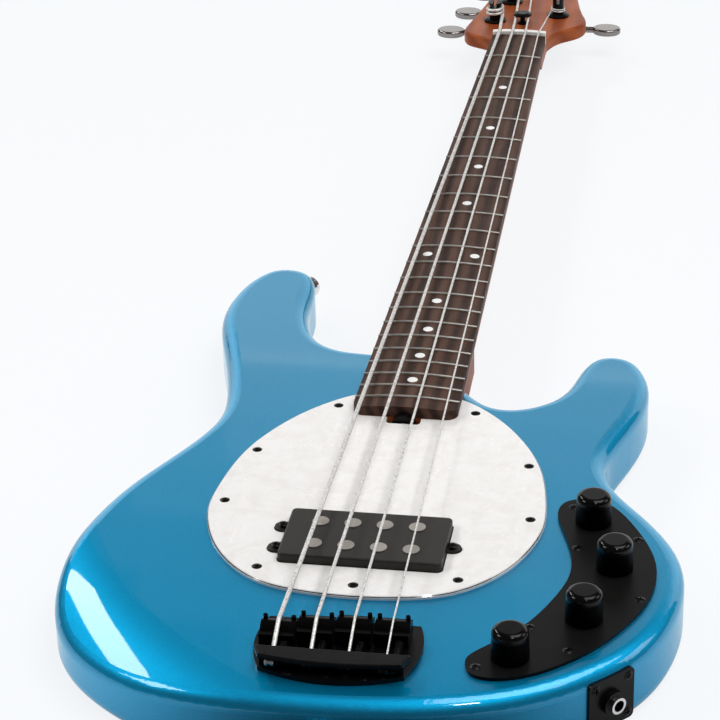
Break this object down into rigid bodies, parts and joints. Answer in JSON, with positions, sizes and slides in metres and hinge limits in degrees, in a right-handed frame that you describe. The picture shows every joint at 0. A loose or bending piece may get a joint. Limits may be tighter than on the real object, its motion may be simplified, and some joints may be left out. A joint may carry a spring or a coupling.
{
  "type": "electric bass guitar",
  "caption": "Solid-body electric bass guitar with a double-cutaway body, bolt-on neck, oval pickguard, magnetic pickup, fixed bridge, control knobs and geared tuners.",
  "frame": {"origin": "on the body's back face, on the instrument's centreline, directly under the saddle line", "axes": "+X to the treble side, +Y along the neck to the headstock, +Z from the back to the strings"},
  "size_m": [0.3441, 1.1538, 0.0614],
  "materials": {
    "body_lacquer": "metallic blue gloss lacquer over wood",
    "neck_wood": "roasted maple, satin oil",
    "board_wood": "dark rosewood, open grain, satin",
    "nickel": "nickel silver, polished",
    "string_steel": "round-wound steel",
    "marker_white": "pearl white, polished flush",
    "nut_white": "white, polished",
    "guard_pearl": "white pearl laminate with a dark middle ply",
    "black_metal": "black plated, satin",
    "knob_black": "black plated, gloss",
    "plate_black": "black satin sheet",
    "cover_black": "black moulded, fine grain",
    "pole_steel": "plain magnet alloy, ground",
    "winding_copper": "enamelled fine wire",
    "sleeve_rubber": "soft black tube",
    "pot_steel": "plain sheet steel",
    "board_green": "green circuit laminate",
    "box_plastic": "black moulded",
    "battery_case": "plain printed-free metal jacket",
    "jack_chrome": "polished",
    "button_dark": "dark grey plated, gloss"
  },
  "bodies": {
    "pickup": {"pickup_cover": "cover_black", "pickup_base": "cover_black", "pickup_pole_pieces": "pole_steel", "pickup_coils": "winding_copper", "pickup_screws": "black_metal"},
    "truss_wheel": {"truss_rod_wheel": "black_metal"},
    "battery_door": {"battery_lid": "box_plastic"},
    "control_bass": {"knob_bass": "knob_black", "pot_shaft_bass": "pot_steel"},
    "control_mid": {"knob_mid": "knob_black", "pot_shaft_mid": "pot_steel"},
    "control_treble": {"knob_treble": "knob_black", "pot_shaft_treble": "pot_steel"},
    "control_volume": {"knob_volume": "knob_black", "pot_shaft_volume": "pot_steel"},
    "intonation_e": {"saddle_e": "black_metal"},
    "intonation_a": {"saddle_a": "black_metal"},
    "intonation_d": {"saddle_d": "black_metal"},
    "intonation_g": {"saddle_g": "black_metal"},
    "button_e": {"tuner_button_e": "button_dark"},
    "post_e": {"tuner_post_e": "black_metal"},
    "button_a": {"tuner_button_a": "button_dark"},
    "post_a": {"tuner_post_a": "black_metal"},
    "button_d": {"tuner_button_d": "button_dark"},
    "post_d": {"tuner_post_d": "black_metal"},
    "button_g": {"tuner_button_g": "button_dark"},
    "post_g": {"tuner_post_g": "black_metal"},
    "instrument": {"body": "body_lacquer", "neck": "neck_wood", "fingerboard": "board_wood", "frets": "nickel", "position_markers": "marker_white", "nut": "nut_white", "truss_rod": "pot_steel", "neck_plate": "black_metal", "neck_bolts": "black_metal", "pickguard": "guard_pearl", "pickguard_screws": "black_metal", "pickup_sleeves": "sleeve_rubber", "control_plate": "plate_black", "control_plate_screws": "black_metal", "potentiometers": "pot_steel", "preamp_board": "board_green", "battery_box": "box_plastic", "batteries": "battery_case", "jack_plate": "black_metal", "jack_plate_screws": "black_metal", "output_jack": "jack_chrome", "jack_nut": "black_metal", "strap_buttons": "jack_chrome", "strap_button_screws": "jack_chrome", "bridge_plate": "black_metal", "bridge_screws": "black_metal", "intonation_screws": "black_metal", "intonation_springs": "black_metal", "strings": "string_steel", "tuner_housings": "black_metal", "tuner_bushings": "black_metal", "tuner_screws": "black_metal", "string_retainer": "black_metal"}
  },
  "joints": [
    {"name": "pickup_height", "type": "slide", "parent": "instrument", "child": "pickup", "axis": [0, 0, 1], "range_m": [-0.003, 0.0015], "deforming": ["pickup_sleeves"]},
    {"name": "truss_wheel_turn", "type": "hinge", "parent": "instrument", "child": "truss_wheel", "pos_m": [0, 0.22664, 0.0404], "axis": [0, 1, 0], "range_deg": [-360, 360]},
    {"name": "battery_lid_hinge", "type": "hinge", "parent": "instrument", "child": "battery_door", "pos_m": [-0.06049, 0.012, 0.0014], "axis": [0, -1, 0], "range_deg": [0, 95]},
    {"name": "bass_turn", "type": "hinge", "parent": "instrument", "child": "control_bass", "pos_m": [0.12327, 0.12364, 0.043], "axis": [0, 0, -1], "range_deg": [-150, 150]},
    {"name": "mid_turn", "type": "hinge", "parent": "instrument", "child": "control_mid", "pos_m": [0.13861, 0.07698, 0.043], "axis": [0, 0, -1], "range_deg": [-150, 150]},
    {"name": "treble_turn", "type": "hinge", "parent": "instrument", "child": "control_treble", "pos_m": [0.12652, 0.02464, 0.043], "axis": [0, 0, -1], "range_deg": [-150, 150]},
    {"name": "volume_turn", "type": "hinge", "parent": "instrument", "child": "control_volume", "pos_m": [0.09184, -0.0158, 0.043], "axis": [0, 0, -1], "range_deg": [0, 300]},
    {"name": "saddle_e_slide", "type": "slide", "parent": "instrument", "child": "intonation_e", "axis": [0, 1, 0], "range_m": [-0.004, 0.004], "deforming": ["strings", "intonation_springs"]},
    {"name": "saddle_a_slide", "type": "slide", "parent": "instrument", "child": "intonation_a", "axis": [0, 1, 0], "range_m": [-0.004, 0.004], "deforming": ["strings", "intonation_springs"]},
    {"name": "saddle_d_slide", "type": "slide", "parent": "instrument", "child": "intonation_d", "axis": [0, 1, 0], "range_m": [-0.004, 0.004], "deforming": ["strings", "intonation_springs"]},
    {"name": "saddle_g_slide", "type": "slide", "parent": "instrument", "child": "intonation_g", "axis": [0, 1, 0], "range_m": [-0.004, 0.004], "deforming": ["strings", "intonation_springs"]},
    {"name": "button_e_turn", "type": "hinge", "parent": "instrument", "child": "button_e", "pos_m": [-0.05397, 0.93599, 0.0236], "axis": [1, 0, 0], "continuous": true},
    {"name": "post_e_turn", "type": "hinge", "parent": "instrument", "child": "post_e", "pos_m": [-0.02597, 0.91799, 0.042], "axis": [0, 0, 1], "continuous": true},
    {"name": "button_a_turn", "type": "hinge", "parent": "instrument", "child": "button_a", "pos_m": [-0.04495, 0.98205, 0.0236], "axis": [1, 0, 0], "continuous": true},
    {"name": "post_a_turn", "type": "hinge", "parent": "instrument", "child": "post_a", "pos_m": [-0.01695, 0.96405, 0.042], "axis": [0, 0, 1], "continuous": true},
    {"name": "button_d_turn", "type": "hinge", "parent": "instrument", "child": "button_d", "pos_m": [-0.03653, 1.02998, 0.0236], "axis": [1, 0, 0], "continuous": true},
    {"name": "post_d_turn", "type": "hinge", "parent": "instrument", "child": "post_d", "pos_m": [-0.00853, 1.01198, 0.042], "axis": [0, 0, 1], "continuous": true},
    {"name": "button_g_turn", "type": "hinge", "parent": "instrument", "child": "button_g", "pos_m": [0.05299, 0.95308, 0.0236], "axis": [1, 0, 0], "continuous": true},
    {"name": "post_g_turn", "type": "hinge", "parent": "instrument", "child": "post_g", "pos_m": [0.02499, 0.93508, 0.042], "axis": [0, 0, 1], "continuous": true}
  ],
  "couplings": [
    {"joint": "post_e_turn", "follows": "button_e_turn", "ratio": 0.05},
    {"joint": "post_a_turn", "follows": "button_a_turn", "ratio": 0.05},
    {"joint": "post_d_turn", "follows": "button_d_turn", "ratio": 0.05},
    {"joint": "post_g_turn", "follows": "button_g_turn", "ratio": 0.05}
  ]
}
